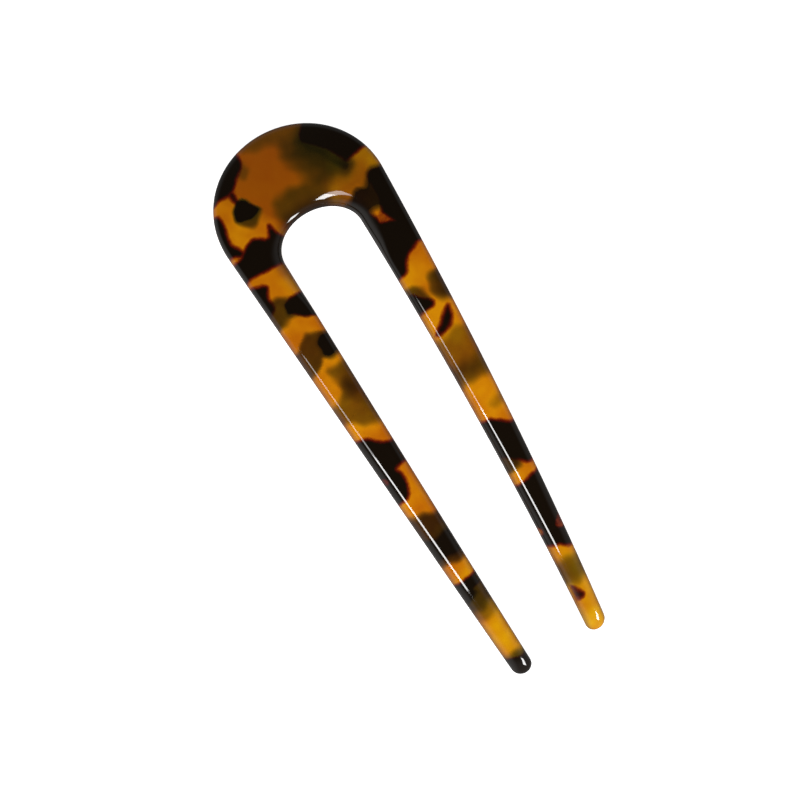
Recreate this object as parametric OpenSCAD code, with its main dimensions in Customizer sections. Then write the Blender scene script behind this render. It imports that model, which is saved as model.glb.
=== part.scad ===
// French hair pin, one U-shaped piece of polished cellulose acetate.
// X runs across the pin, Y from the tips towards the head, Z up. The pin lies front side up on
// a surface at z = 0, bent like a low bridge: it touches the surface at the rim of the head and
// at both tips.

/* [Whole pin] */
// Length of the blank before it is bent, from the head's rim to the tips
blank_length = 129; // [110:1:160]
// Thickness of the sheet that the pin is cut from
sheet_thickness = 4.2; // [3:0.1:5]
// How far the middle of the bent pin stands above a line through its two ends
bow_rise = 11; // [3:0.5:16]

/* [Head] */
// Radius of the head's round rim
head_radius = 18.9; // [17:0.1:22]
// Width of the head from its rim to the top of the arch
crown_width = 19.9; // [14:0.1:24]
// Width of the arch between the legs, at its foot
arch_width = 18.4; // [14:0.1:22]
// Depth of the arch, from its foot to its top
arch_depth = 7.4; // [5:0.1:12]

/* [Legs] */
// Gap between the legs at their tips
tip_gap = 13.6; // [8:0.1:16]
// Width of a leg where its round tip starts
tip_width = 4.5; // [3.5:0.1:6]
// Thickness of a leg where its round tip starts
tip_thickness = 4; // [2.5:0.1:4.2]
// How far the middle of a leg's outer edge stands out from a straight line
outer_belly = 0.35; // [0:0.05:1]
// How far the middle of a leg's inner edge stands back from a straight line
inner_belly = 0.5; // [0:0.05:1]

/* [Edges] */
// Radius of the polished edges round the head
edge_radius = 1.4; // [0.6:0.1:1.5]

/* [Hidden] */

// Steps of the faceted surface: along each leg, round each tip, round the arch and round one
// quarter of an edge
leg_steps = 32;
tip_steps = 6;
arch_steps = 32;
edge_steps = 5;
// The last section of a tip, as a share of a quarter turn, so that it doesn't shrink to a point
tip_last_share = 0.94;
// How fast a leg's edges grow rounder towards the tip: in width and in height
edge_width_power = 1.6;
edge_height_power = 0.6;

// Distances along the blank, measured from the head's rim
arch_foot = crown_width + arch_depth;
tip_round = tip_width / 2;

// Half-widths of the gap and of the pin
arch_half = arch_width / 2;
tip_inside = tip_gap / 2;
tip_outside = tip_inside + tip_width;

// The outer edge of a leg leaves the round rim where both have the same slope, and its inner edge
// leaves the arch, half an ellipse, in the same way
outer_draw_in = atan((head_radius - tip_outside - 4 * outer_belly) / (blank_length - head_radius));
outer_start = head_radius * (1 + sin(outer_draw_in));
outer_start_half = head_radius * cos(outer_draw_in);
inner_draw_in = atan((arch_half - tip_inside - 4 * inner_belly) / (blank_length - arch_foot));
inner_turn = atan(arch_depth / arch_half * tan(inner_draw_in));
inner_start = arch_foot + arch_depth * sin(inner_turn);
inner_start_half = arch_half * cos(inner_turn);

// Radius of the circle that the middle of the bent sheet follows: an arc as long as the blank
// rises by bow_rise over its chord
bow_radius = pow(blank_length, 2) / (8 * bow_rise) - bow_rise / 6;

function clamp(value) = max(0, min(1, value));
function mix(from, to, share) = from + (to - from) * share;

// Half-width of an edge that runs from its start to the tip, bellied out at its middle
function edge_half(s, start, start_half, end_half, belly) =
    let (share = clamp((s - start) / (blank_length - start)))
    mix(start_half, end_half, share) + 4 * belly * share * (1 - share);

function outer_half(s) = edge_half(s, outer_start, outer_start_half, tip_outside, outer_belly);
function inner_half(s) = edge_half(s, inner_start, inner_start_half, tip_inside, inner_belly);

// A section is [inner point, outer point, size], with points [x, distance from the rim]. The
// size is 1 except in the round tips, where it falls to nothing.
function leg_section(s) = [[inner_half(s), s], [outer_half(s), s], 1];

function tip_section(turn) =
    let (
        s = blank_length - tip_round * (1 - sin(turn)),
        middle = (inner_half(s) + outer_half(s)) / 2,
        half = cos(turn) * (outer_half(s) - inner_half(s)) / 2
    )
    [[middle - half, s], [middle + half, s], cos(turn)];

// A point on the outer edge beside the arch: along the leg, then round the rim to its top
function beside_arch(share) =
    let (
        straight = arch_foot - outer_start,
        curved = head_radius * (90 + outer_draw_in) * PI / 180,
        travel = share * (straight + curved),
        s = arch_foot - travel,
        turn = (travel - straight) / head_radius * 180 / PI - outer_draw_in
    )
    travel < straight ? [outer_half(s), s] : head_radius * [cos(turn), 1 - sin(turn)];

function arch_section(share) =
    let (turn = 90 * share)
    [[arch_half * cos(turn), arch_foot - arch_depth * sin(turn)], beside_arch(share), 1];

function mirrored(section) =
    [[-section[0][0], section[0][1]], [-section[1][0], section[1][1]], section[2]];

// The sections of one half, from its tip to the middle of the head
half_sections = [
    for (k = [0 : tip_steps - 1]) tip_section(90 * tip_last_share * (1 - k / tip_steps)),
    for (k = [0 : leg_steps - 1]) leg_section(mix(blank_length - tip_round, arch_foot, k / leg_steps)),
    for (k = [0 : arch_steps / 2]) arch_section(2 * k / arch_steps),
];
sections = [
    each half_sections,
    for (k = [len(half_sections) - 2 : -1 : 0]) mirrored(half_sections[k]),
];

// How far a place is along a leg: 0 at the arch and 1 at the tip
function leg_share(s) = clamp((s - arch_foot) / (blank_length - arch_foot));

// One rounded section: [distance from its middle, height over the middle of the sheet]
function rounded_outline(width, s, size) =
    let (
        share = leg_share(s),
        height = mix(sheet_thickness, tip_thickness, share) * size,
        round_x = mix(min(edge_radius * size, width / 2), width / 2, pow(share, edge_width_power)),
        round_z = min(height / 2, mix(edge_radius * size, height / 2, pow(share, edge_height_power)))
    )
    [
        for (quarter = [0 : 3], step = [0 : edge_steps])
            let (
                turn = 90 * (quarter + step / edge_steps),
                side_x = quarter == 0 || quarter == 3 ? 1 : -1,
                side_z = quarter < 2 ? 1 : -1
            )
            [
                side_x * (width / 2 - round_x) + round_x * cos(turn),
                side_z * (height / 2 - round_z) + round_z * sin(turn)
            ]
    ];

// Bends a place on the flat blank round the bow's circle
function bent(x, s, z) =
    let (turn = (blank_length / 2 - s) / bow_radius * 180 / PI)
    [x, (bow_radius + z) * sin(turn), (bow_radius + z) * cos(turn) - bow_radius];

function bent_section(section) =
    let (
        across = section[1] - section[0],
        middle = (section[0] + section[1]) / 2,
        width = norm(across)
    )
    [
        for (corner = rounded_outline(width, middle[1], section[2]))
            let (place = middle + across / width * corner[0])
            bent(place[0], place[1], corner[1])
    ];

bent_points = [for (section = sections) each bent_section(section)];

// The pin is tipped until its head and its tips touch the surface together
function lowest(points) = min([for (point = points) point[2]]);
function lowest_place(points, z) = [for (point = points) if (point[2] <= z) point[1]][0];

head_points = [for (point = bent_points) if (point[1] > 0) point];
tail_points = [for (point = bent_points) if (point[1] <= 0) point];
head_low = lowest(head_points);
tail_low = lowest(tail_points);
resting_tip = atan((head_low - tail_low)
    / (lowest_place(head_points, head_low) - lowest_place(tail_points, tail_low)));

function tipped(point) = [
    point[0],
    point[1] * cos(resting_tip) + point[2] * sin(resting_tip),
    point[2] * cos(resting_tip) - point[1] * sin(resting_tip)
];

tipped_points = [for (point = bent_points) tipped(point)];
along = [for (point = tipped_points) point[1]];
pin_centre = [0, (max(along) + min(along)) / 2, lowest(tipped_points)];
pin_points = [for (point = tipped_points) point - pin_centre];

ring_size = 4 * (edge_steps + 1);
last_ring = (len(sections) - 1) * ring_size;

pin_faces = [
    [for (k = [0 : ring_size - 1]) k],
    for (ring = [0 : len(sections) - 2], k = [0 : ring_size - 1])
        let (
            here = ring * ring_size,
            next = (k + 1) % ring_size
        )
        [here + next, here + k, here + ring_size + k, here + ring_size + next],
    [for (k = [ring_size - 1 : -1 : 0]) last_ring + k],
];

module hair_pin() {
    color([0.62, 0.36, 0.05])
        polyhedron(points = pin_points, faces = pin_faces, convexity = 6);
}

hair_pin();
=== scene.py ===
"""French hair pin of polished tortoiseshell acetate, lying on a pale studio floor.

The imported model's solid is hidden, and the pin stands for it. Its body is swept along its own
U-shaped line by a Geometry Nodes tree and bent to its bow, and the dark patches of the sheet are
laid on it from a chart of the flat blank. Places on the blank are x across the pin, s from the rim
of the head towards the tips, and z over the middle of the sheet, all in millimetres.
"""

import logging
import math
from collections.abc import Callable
from dataclasses import dataclass
from enum import Enum
from functools import partial

import bpy
import numpy as np
from mathutils import Matrix, Vector


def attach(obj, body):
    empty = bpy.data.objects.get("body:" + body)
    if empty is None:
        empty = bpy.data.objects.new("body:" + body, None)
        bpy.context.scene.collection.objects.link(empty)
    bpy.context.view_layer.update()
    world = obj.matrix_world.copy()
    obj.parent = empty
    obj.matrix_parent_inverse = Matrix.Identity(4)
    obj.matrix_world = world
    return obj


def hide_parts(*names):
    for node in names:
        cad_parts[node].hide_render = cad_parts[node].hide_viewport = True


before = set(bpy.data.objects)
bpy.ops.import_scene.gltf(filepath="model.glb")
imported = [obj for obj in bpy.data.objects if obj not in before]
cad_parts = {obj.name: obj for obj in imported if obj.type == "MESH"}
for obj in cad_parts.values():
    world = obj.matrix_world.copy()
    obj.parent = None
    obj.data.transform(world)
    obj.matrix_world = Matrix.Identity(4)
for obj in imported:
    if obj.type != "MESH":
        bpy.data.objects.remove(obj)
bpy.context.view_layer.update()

LOG = logging.getLogger("hair_pin")
MM = 0.001


def to_linear(colour: str) -> tuple[float, float, float, float]:
    """Turns an sRGB hex colour into the linear values that a socket takes.

    Args:
        colour: Six hex digits after a number sign.

    Returns:
        Linear red, green, blue and a full alpha.
    """
    parts = [int(colour[k:k + 2], 16) / 255 for k in (1, 3, 5)]
    linear = [part / 12.92 if part <= 0.04045 else ((part + 0.055) / 1.055) ** 2.4 for part in parts]
    return (linear[0], linear[1], linear[2], 1.0)


def add_node(
    tree: bpy.types.NodeTree,
    kind: str,
    settings: dict[str, object] | None = None,
    inputs: dict[str | int, object] | None = None,
) -> bpy.types.Node:
    """Adds one node with its settings, and links or sets its inputs.

    Args:
        tree: The tree that gets the node.
        kind: The node's type.
        settings: Settings of the node itself, by name.
        inputs: Inputs by name or number. A socket is linked, a node is linked by the first of its
            outputs that is in use, and anything else is a value.

    Returns:
        The new node.
    """
    node = tree.nodes.new(kind)
    for name, value in (settings or {}).items():
        setattr(node, name, value)
    for name, value in (inputs or {}).items():
        if isinstance(value, bpy.types.Node):
            value = next(socket for socket in value.outputs if socket.enabled)
        if isinstance(value, bpy.types.NodeSocket):
            tree.links.new(value, node.inputs[name])
        else:
            node.inputs[name].default_value = value
    return node


@dataclass(frozen=True)
class PinSizes:
    """The pin's real sizes in millimetres, under the names that its solid has for them.

    The two powers say how fast a leg's edges grow rounder towards the tip. The last three sizes
    are the polisher's work, which the solid leaves out.

    Attributes:
        arch_rounding: Width of the front's rounding beside the arch, broader than elsewhere.
        arch_rounding_fade: How far along the legs that width dies away.
        tip_dome: Length over which the front of a tip falls away to its end.
    """

    blank_length: float = 129.0
    sheet_thickness: float = 4.2
    bow_rise: float = 11.0
    head_radius: float = 18.9
    crown_width: float = 19.9
    arch_width: float = 18.4
    arch_depth: float = 7.4
    tip_gap: float = 13.6
    tip_width: float = 4.5
    tip_thickness: float = 4.0
    outer_belly: float = 0.35
    inner_belly: float = 0.5
    edge_radius: float = 1.4
    edge_width_power: float = 1.6
    edge_height_power: float = 0.6
    arch_rounding: float = 4.2
    arch_rounding_fade: float = 12.0
    tip_dome: float = 5.0

    @property
    def arch_foot(self) -> float:
        """Distance from the rim of the head to where the legs start."""
        return self.crown_width + self.arch_depth

    @property
    def bow_radius(self) -> float:
        """Radius of the circle that the middle of the bent sheet follows."""
        return self.blank_length**2 / (8 * self.bow_rise) - self.bow_rise / 6


@dataclass(frozen=True)
class Stations:
    """Cross-sections of the flat blank, from one tip round the arch to the other.

    Attributes:
        inner: Places on the edge beside the gap, as rows of x and s.
        outer: Places on the outer edge, as rows of x and s.
        size: 1 for a full section, falling to nothing in the round tips.
        crown: The same for the front of the section alone, which falls away sooner.
    """

    inner: np.ndarray
    outer: np.ndarray
    size: np.ndarray
    crown: np.ndarray


@dataclass(frozen=True)
class FlatBlank:
    """The outline of the pin on the flat sheet.

    Attributes:
        sizes: The pin's sizes.
        leg_steps: Sections along each leg.
        tip_steps: Sections round each tip.
        arch_steps: Sections round the arch.
    """

    sizes: PinSizes
    leg_steps: int = 220
    tip_steps: int = 14
    arch_steps: int = 150

    def edge_half(self, s: np.ndarray, start: float, half: float, end: float, belly: float) -> np.ndarray:
        """Half-width of an edge that runs from its start to the tip, bellied out at its middle.

        Args:
            s: Distances from the rim of the head.
            start: Distance at which the edge starts.
            half: Half-width at the start.
            end: Half-width at the tip.
            belly: How far its middle stands out from a straight line.

        Returns:
            The half-width at each distance.
        """
        share = np.clip((s - start) / (self.sizes.blank_length - start), 0, 1)
        return half + (end - half) * share + 4 * belly * share * (1 - share)

    def outer_turn(self) -> float:
        """Works out where the outer edge leaves the round rim.

        Returns:
            Its slope there, in radians.
        """
        size = self.sizes
        run = size.head_radius - size.tip_gap / 2 - size.tip_width - 4 * size.outer_belly
        return math.atan(run / (size.blank_length - size.head_radius))

    def outer_half(self, s: np.ndarray) -> np.ndarray:
        """Half-width of the pin's outside, below the round rim.

        Args:
            s: Distances from the rim of the head.

        Returns:
            The half-width at each distance.
        """
        size, turn = self.sizes, self.outer_turn()
        start = size.head_radius * (1 + math.sin(turn))
        half = size.head_radius * math.cos(turn)
        return self.edge_half(s, start, half, size.tip_gap / 2 + size.tip_width, size.outer_belly)

    def inner_half(self, s: np.ndarray) -> np.ndarray:
        """Half-width of the gap, below the arch.

        Args:
            s: Distances from the rim of the head.

        Returns:
            The half-width at each distance.
        """
        size = self.sizes
        half_arch = size.arch_width / 2
        run = half_arch - size.tip_gap / 2 - 4 * size.inner_belly
        slope = run / (size.blank_length - size.arch_foot)
        turn = math.atan(size.arch_depth / half_arch * slope)
        start = size.arch_foot + size.arch_depth * math.sin(turn)
        half = half_arch * math.cos(turn)
        return self.edge_half(s, start, half, size.tip_gap / 2, size.inner_belly)

    def crown(self, s: np.ndarray) -> np.ndarray:
        """How high the front of a leg still stands, as it falls away to the tip.

        Args:
            s: Distances from the rim of the head.

        Returns:
            A share of the full height at each distance.
        """
        size = self.sizes
        share = np.clip((s - size.blank_length + size.tip_dome) / size.tip_dome, 0, 1)
        return np.sqrt(1 - share**2)

    def tip(self) -> Stations:
        """Lays out the sections of one round tip.

        Returns:
            Sections from the tip's end to where the leg is at its full width.
        """
        size = self.sizes
        turn = np.linspace(math.pi / 2, 0, self.tip_steps, endpoint=False)
        s = size.blank_length - size.tip_width / 2 * (1 - np.sin(turn))
        middle = (self.inner_half(s) + self.outer_half(s)) / 2
        half = np.cos(turn) * (self.outer_half(s) - self.inner_half(s)) / 2
        half[0] = 0
        inner = np.column_stack((middle - half, s))
        outer = np.column_stack((middle + half, s))
        return Stations(inner, outer, np.where(half > 0, np.cos(turn), 0), self.crown(s))

    def leg(self) -> Stations:
        """Lays out the sections of one straight leg.

        Returns:
            Sections from the leg's tip to the foot of the arch.
        """
        size = self.sizes
        start = size.blank_length - size.tip_width / 2
        s = np.linspace(start, size.arch_foot, self.leg_steps, endpoint=False)
        inner = np.column_stack((self.inner_half(s), s))
        outer = np.column_stack((self.outer_half(s), s))
        return Stations(inner, outer, np.ones(len(s)), self.crown(s))

    def arch(self) -> Stations:
        """Lays out the sections of one half of the head.

        Returns:
            Sections from the foot of the arch to the top of the rim.
        """
        size, slope = self.sizes, self.outer_turn()
        share = np.linspace(0, 1, self.arch_steps // 2 + 1)
        turn = share * math.pi / 2
        inner = np.column_stack((
            size.arch_width / 2 * np.cos(turn),
            size.arch_foot - size.arch_depth * np.sin(turn),
        ))
        straight = size.arch_foot - size.head_radius * (1 + math.sin(slope))
        travel = share * (straight + size.head_radius * (math.pi / 2 + slope))
        along = size.arch_foot - travel
        round_turn = (travel - straight) / size.head_radius - slope
        beside = travel < straight
        outer = np.column_stack((
            np.where(beside, self.outer_half(along), size.head_radius * np.cos(round_turn)),
            np.where(beside, along, size.head_radius * (1 - np.sin(round_turn))),
        ))
        full = np.ones(len(share))
        return Stations(inner, outer, full, full)

    def stations(self) -> Stations:
        """Joins the sections of both halves.

        Returns:
            All sections, from the tip at +X round the arch to the tip at -X.
        """
        parts = (self.tip(), self.leg(), self.arch())
        inner = np.concatenate([part.inner for part in parts])
        outer = np.concatenate([part.outer for part in parts])
        size = np.concatenate([part.size for part in parts])
        crown = np.concatenate([part.crown for part in parts])
        mirror = np.array((-1.0, 1.0))
        return Stations(
            np.concatenate((inner, inner[-2::-1] * mirror)),
            np.concatenate((outer, outer[-2::-1] * mirror)),
            np.concatenate((size, size[-2::-1])),
            np.concatenate((crown, crown[-2::-1])),
        )


class Paste(Enum):
    """The two kinds of lump that the sheet is pressed from, besides its amber ground."""

    DARK = "dark"
    CLEAR = "clear"


@dataclass(frozen=True)
class Chip:
    """One lump in the tortoiseshell sheet, drawn by its outline on the flat blank.

    Attributes:
        name: Where it lies.
        corners: Its outline, as pairs of x and s.
        depth: How far under the front face its top lies, 0 where it is cut open by the face. For
            clear paste, the ink that is left over it.
        thickness: How thick it is.
        blur: Half the width of the soft edge that it has under the face.
        paste: What it is made of.
    """

    name: str
    corners: tuple[tuple[float, float], ...]
    depth: float = 0.0
    thickness: float = 1.8
    blur: float = 0.45
    paste: Paste = Paste.DARK


HEAD_CHIPS = (
    Chip("olive of the top rim", ((-5.2, -2), (-5, 1.2), (-3, 2.6), (1, 3.8), (5, 5), (10, 5), (10, -2)),
         1.5, 2.2, 1.4),
    Chip("faint smoke of the right side", ((6, 17), (9, 14), (21, 13), (21, 20), (14, 22), (6, 23)),
         2.0, 1.6, 1.5),
    Chip("wide smoke of the upper right",
         ((3.2, 4.2), (2, 5.4), (2, 8), (2.8, 11), (3, 13), (5.2, 15.4), (8.6, 17.8), (11.6, 18.6),
          (14, 16.6), (13, 8), (10, 4.2)), 1.0, 2.2, 1.8),
    Chip("middle smoke of the upper right",
         ((6.4, 4.8), (4.5, 8), (5.3, 11), (7, 13.8), (9.4, 16.6), (12.2, 18), (14, 15.5), (12, 9), (9.8, 4)),
         1.0, 2.2, 1.3),
    Chip("shallow side of the upper right patch",
         ((9, 3), (7.2, 4.4), (6, 6.2), (6.4, 8.6), (8, 11), (9.8, 13.4), (10.8, 17.2), (13.8, 16.4), (15, 8),
          (12, 2)), 1.2, 3.0, 1.2),
    Chip("upper right patch",
         ((9.8, -1), (9.5, 2.6), (8.4, 4), (7.3, 5.6), (7.5, 7), (8.9, 8.3), (10.1, 9.8), (11.3, 11.4),
          (12.1, 13.2), (12.5, 14.6), (13, 15.5), (14.6, 15.1),
          (16.4, 14.7), (18.4, 14.5), (21, 14.4), (18.5, 8), (13.5, 2.4)), 0.0, 3.4),
    Chip("smoke over the arch", ((-5.4, 15), (-2, 14.7), (4, 14.9), (7.4, 15.6), (6.2, 18), (5.2, 22),
                                 (-4, 22), (-5.4, 18.4)), 1.05, 2.6, 1.5),
    Chip("smudge at the top left", ((-8.6, 5), (-5.8, 3), (-5.2, 6.2), (-7.6, 7.8)), 1.7, 1.6, 0.8),
    Chip("patch on the upper left rim",
         ((-6, 2.4), (-6.3, 4.8), (-8.6, 6.3), (-9.9, 7.9), (-11.5, 9), (-14.5, 8.9), (-15.6, 9.5), (-19, 9),
          (-14, 2), (-8.5, -1), (-6.2, 0)), 0.0, 2.6),
    Chip("thread between the left patches", ((-12.1, 8.6), (-10.8, 8.6), (-10.8, 12), (-11.9, 12)),
         0.0, 0.45),
    Chip("smoke under the diamond", ((-13, 13), (-8.4, 14), (-8.4, 16.2), (-10, 17.4), (-12.2, 17.2),
                                     (-13, 16)), 0.55, 2.0, 0.8),
    Chip("diamond", ((-13.6, 13), (-12.4, 11.7), (-10.4, 11.2), (-9, 12.1), (-7.6, 15), (-8.6, 15.8),
                     (-10.5, 15.8), (-12.8, 15.2)), 0.1, 2.2, 0.45),
    Chip("heart of the diamond", ((-13, 13), (-11.4, 11.6), (-9.8, 12), (-8.2, 14.8), (-10.5, 15.2)),
         0.0, 2.2),
    Chip("wedge on the left rim",
         ((-16.2, 11.5), (-15.8, 13), (-16.3, 15.4), (-16.9, 17.7), (-16.7, 19), (-15.9, 20), (-15.2, 21.6),
          (-16.5, 22.2), (-17.6, 21.4), (-20.5, 20.6), (-20.5, 11.5)), 0.0, 2.0),
    Chip("patch at the root of the left leg",
         ((-21, 22.8), (-17, 22.4), (-15.9, 21.4), (-14.1, 20.3), (-12.5, 19.7), (-11.1, 20.5), (-10.2, 21.4),
          (-9.2, 20.9), (-8.4, 18.6), (-7.7, 19), (-7.4, 21.4), (-6.2, 22.2), (-6.2, 26.8), (-9.6, 27.1),
          (-11.1, 27.3), (-14.5, 27.4), (-16.8, 27.1), (-17.7, 27.5), (-21, 27.5)), 0.0, 4.2),
)

RIGHT_LEG_CHIPS = (
    Chip("smoke at the root of the right leg",
         ((6.5, 23.4), (9.6, 22.8), (11.2, 21.9), (12.8, 22.3), (13.8, 21.6), (14.5, 20.1), (15.8, 19.4),
          (21, 20.2), (21, 30), (6.5, 30)), 0.22, 2.4, 0.7),
    Chip("black of the right root",
         ((6.5, 23.6), (9.2, 24.2), (10.4, 26.2), (11.2, 28.6), (13, 29.4), (14.4, 27.4), (15, 24),
          (14.8, 21.4), (15.6, 19.9),
          (17.7, 20.4), (21, 20.6), (21, 38), (17.3, 38), (15.8, 38.3), (14.3, 39), (13.1, 39.7),
          (12.2, 40.9), (11.7, 42.3), (10.6, 42.9), (9.5, 42.9), (6.5, 42.8)), 0.0, 2.8),
    Chip("amber window in the right root",
         ((10.6, 27.4), (10.6, 31.4), (12.2, 32.2), (14.2, 32.6), (16.6, 33.8), (15.8, 31), (14.8, 28.8),
          (14, 27), (12.2, 26.6)), -0.1, 3.0, 0.7, Paste.CLEAR),
    Chip("soft side at the right inner edge, 48 mm",
         ((6.5, 45.4), (9.5, 45.4), (11.4, 45.8), (12.5, 47.4), (13, 50), (12, 51.2), (6.5, 51.5)),
         0.62, 2.2, 0.8),
    Chip("patch at the right inner edge, 48 mm",
         ((6.5, 46.6), (9.6, 46.8), (10.6, 48), (13, 49.8), (12.9, 51), (11.2, 51.3), (6.5, 51.4)), 0.0, 1.2),
    Chip("smoke at the right outer edge, 48 mm",
         ((19, 44.8), (15.8, 44.8), (14, 46), (13.6, 48), (14.3, 49.8), (15.6, 51.2), (19, 52)),
         0.75, 2.4, 0.9),
    Chip("darker rim of that smoke", ((15.6, 44.8), (15.2, 47.8), (15.6, 50.8), (19, 51.6), (19, 44.8)),
         0.9, 2.6, 0.9),
    Chip("half leaf", ((9.4, 56.8), (10.8, 55.6), (12.3, 54.3), (13.8, 53.1), (15.4, 51.9), (15.4, 53.3),
                       (14.9, 55), (13.7, 56.3), (12, 57), (10.3, 57)), 0.0, 0.8),
    Chip("wide smoke of the right leg", ((6, 58.2), (10, 57.8), (14, 57.4), (19, 57.2), (19, 68.2), (6, 69)),
         1.4, 2.0, 1.1),
    Chip("dark end of the wide smoke", ((6, 63.4), (9, 64.8), (11, 64.6), (13, 64.2), (19, 64.8), (19, 67),
                                        (13, 67.6), (6, 68.4)), 0.95, 2.2, 1.9),
    Chip("faint smoke, 74 mm", ((12, 74.2), (19, 72.4), (19, 76.4), (12.6, 75.6)), 1.9, 1.4, 1.0),
    Chip("patch of the right leg, 80 mm",
         ((5, 76.7), (8.9, 76.8), (10.7, 76.8), (11.4, 77.4), (13.1, 78.8), (14.4, 79.7), (17, 80),
          (17, 88.8), (13.9, 88.9), (12.7, 88.6), (11.5, 87.4), (10.2, 85.8), (8.5, 85), (5, 85)),
         0.0, 2.6),
    Chip("brown beside it at the inner edge", ((5, 84), (10.2, 84.4), (11.6, 86.6), (12, 88.2), (9.6, 88.6),
                                               (5, 88.6)), 0.3, 2.0, 0.8),
    Chip("long patch of the right leg",
         ((5, 92), (9, 91.8), (11, 91.5), (12.5, 91), (17, 90.8), (17, 109.1), (12.1, 108.9),
          (11, 107.9), (10.2, 107.2), (8.8, 107), (7.9, 106.5), (5, 106.2)), 0.0, 3.0),
    Chip("red spot in the long patch", ((10.4, 103.4), (12, 101.2), (15, 100), (15, 105.8), (12, 105)),
         0.05, 3.0, 0.4, Paste.CLEAR),
    Chip("amber notch in the long patch", ((5, 100.4), (8.4, 101), (9.4, 102.9), (8.6, 104.8), (5, 105.4)),
         -0.3, 3.0, 0.4, Paste.CLEAR),
    Chip("smoke of the right tip",
         ((4, 110.8), (9, 110.7), (14.5, 110.2), (14.5, 116.6), (9, 116.4), (4, 115.6)), 1.2, 2.0, 1.2),
    Chip("dark middle of that smoke", ((4, 112.4), (14.5, 112), (14.5, 115.4), (4, 115)), 2.0, 1.6, 1.9),
    Chip("triangle of the right tip", ((7.1, 116), (8.6, 117), (10, 119.1), (9.2, 120.1), (7.1, 120.2)),
         0.0, 0.55),
)

LEFT_LEG_CHIPS = (
    Chip("smoke of the left leg, 37 mm",
         ((-12, 34.2), (-16, 33.6), (-20, 33.6), (-20, 39.6), (-16.5, 39.2), (-14.8, 38.2), (-12, 38)),
         0.45, 2.4, 0.8),
    Chip("spike on the left outer edge",
         ((-20, 28.8), (-17.1, 28.9), (-14.6, 30), (-15.3, 31.2), (-16.1, 32.5), (-15.9, 33.8), (-16.2, 35.4),
          (-20, 36.8)), 0.0, 2.4),
    Chip("shallow side of the patch, 37 mm", ((-6, 34.6), (-13.4, 34.8), (-14.4, 36.4), (-13.6, 38.4),
                                              (-10.6, 40.1), (-6, 40.6)), 0.3, 2.8, 0.8),
    Chip("patch at the left inner edge, 37 mm",
         ((-6, 34.3), (-11, 34.4), (-13.2, 34.9), (-13.9, 36), (-13.4, 37.6), (-12.4, 38.8), (-10.6, 40),
          (-6, 40.5)), 0.0, 2.8),
    Chip("smoke of the left leg, 47 mm",
         ((-20, 45.6), (-16.6, 45.8), (-15, 44.1), (-13.5, 42.4), (-12, 43.1), (-10, 44.6), (-6, 45.2),
          (-6, 48.8), (-12.9, 48.5), (-13.7, 49.8), (-15, 51), (-20, 51.6)), 0.58, 2.6, 0.6),
    Chip("patch at the left inner edge, 47 mm",
         ((-6, 44.4), (-10.6, 44.6), (-12.2, 45.6), (-12.6, 47), (-12.4, 48.8), (-11, 49.1), (-6, 49.2)),
         0.08, 2.8, 0.9),
    Chip("wide smoke of the left leg",
         ((-6, 51), (-13, 51.2), (-13.2, 53.4), (-12.6, 55.4), (-13.6, 57.2), (-16, 59), (-20, 59.8),
          (-20, 62.6), (-15.5, 62.8), (-13.6, 64.2), (-11, 65.3), (-6, 65.4)), 1.1, 2.2, 0.9),
    Chip("brown of the wide smoke, inner edge",
         ((-6, 51.4), (-12, 51.8), (-11.6, 55.4), (-12.6, 57), (-11.4, 58.8), (-10.6, 63.2), (-6, 64.2)),
         2.0, 2.4, 1.0),
    Chip("dark spot of the wide smoke", ((-13, 56), (-11, 54.4), (-8.4, 57.2), (-12, 59)), 0.75, 2.0, 1.3),
    Chip("patch of the left leg, 75 mm",
         ((-20, 67.3), (-14.6, 67.1), (-12.9, 67.8), (-11.5, 69.5), (-9.4, 70.4), (-5, 70.6), (-5, 75.4),
          (-9.4, 75.4), (-11.1, 75.7), (-11.5, 76.2), (-10.8, 77), (-10.7, 79), (-11.2, 80.9),
          (-12.2, 82.4), (-13.4, 82.8), (-20, 83)), 0.0, 2.4),
    Chip("red notch of that patch", ((-20, 75), (-14.4, 75.6), (-13.4, 77.4), (-14.4, 79), (-20, 79.4)),
         0.25, 3.0, 0.4, Paste.CLEAR),
    Chip("smoke of the left leg, 92 mm",
         ((-20, 86.4), (-14.4, 86.5), (-12.6, 86.9), (-10.5, 87.5), (-8.3, 87.9), (-4, 88), (-4, 98.6),
          (-10, 98.6), (-20, 98.9)), 0.34, 2.8, 0.9),
    Chip("black of that smoke", ((-20, 91.8), (-12, 92.6), (-4, 93.2), (-4, 96.6), (-12, 96.6), (-20, 97.4)),
         0.2, 2.6, 1.6),
    Chip("bar of the left leg, 104 mm",
         ((-20, 103.8), (-12.4, 103.5), (-9.8, 102.9), (-4, 102.6), (-4, 104.8), (-9, 105), (-11.2, 105.6),
          (-20, 106.4)), 0.0, 2.4),
    Chip("black of the left leg, 106 mm",
         ((-20, 104.4), (-4, 104.1), (-4, 104.9), (-9.8, 105.4), (-10.8, 107.4), (-20, 109)), 0.15, 2.6, 1.3),
    Chip("smoke of the left leg, 108 mm", ((-20, 104.8), (-4, 104.2), (-4, 110.2), (-20, 110.8)),
         0.48, 2.4, 1.3),
    Chip("far end of that smoke", ((-20, 106), (-4, 106), (-4, 112.6), (-20, 113)), 1.5, 1.8, 1.0),
    Chip("soft side of the black tip", ((-16, 122.9), (-4, 123.2), (-4, 132), (-16, 132)), 0.3, 3.6, 1.2),
    Chip("black tip", ((-16, 123), (-10.4, 123.5), (-8.4, 124.4), (-4, 124.2), (-4, 132), (-16, 132)),
         0.0, 4.2),
)


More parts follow.
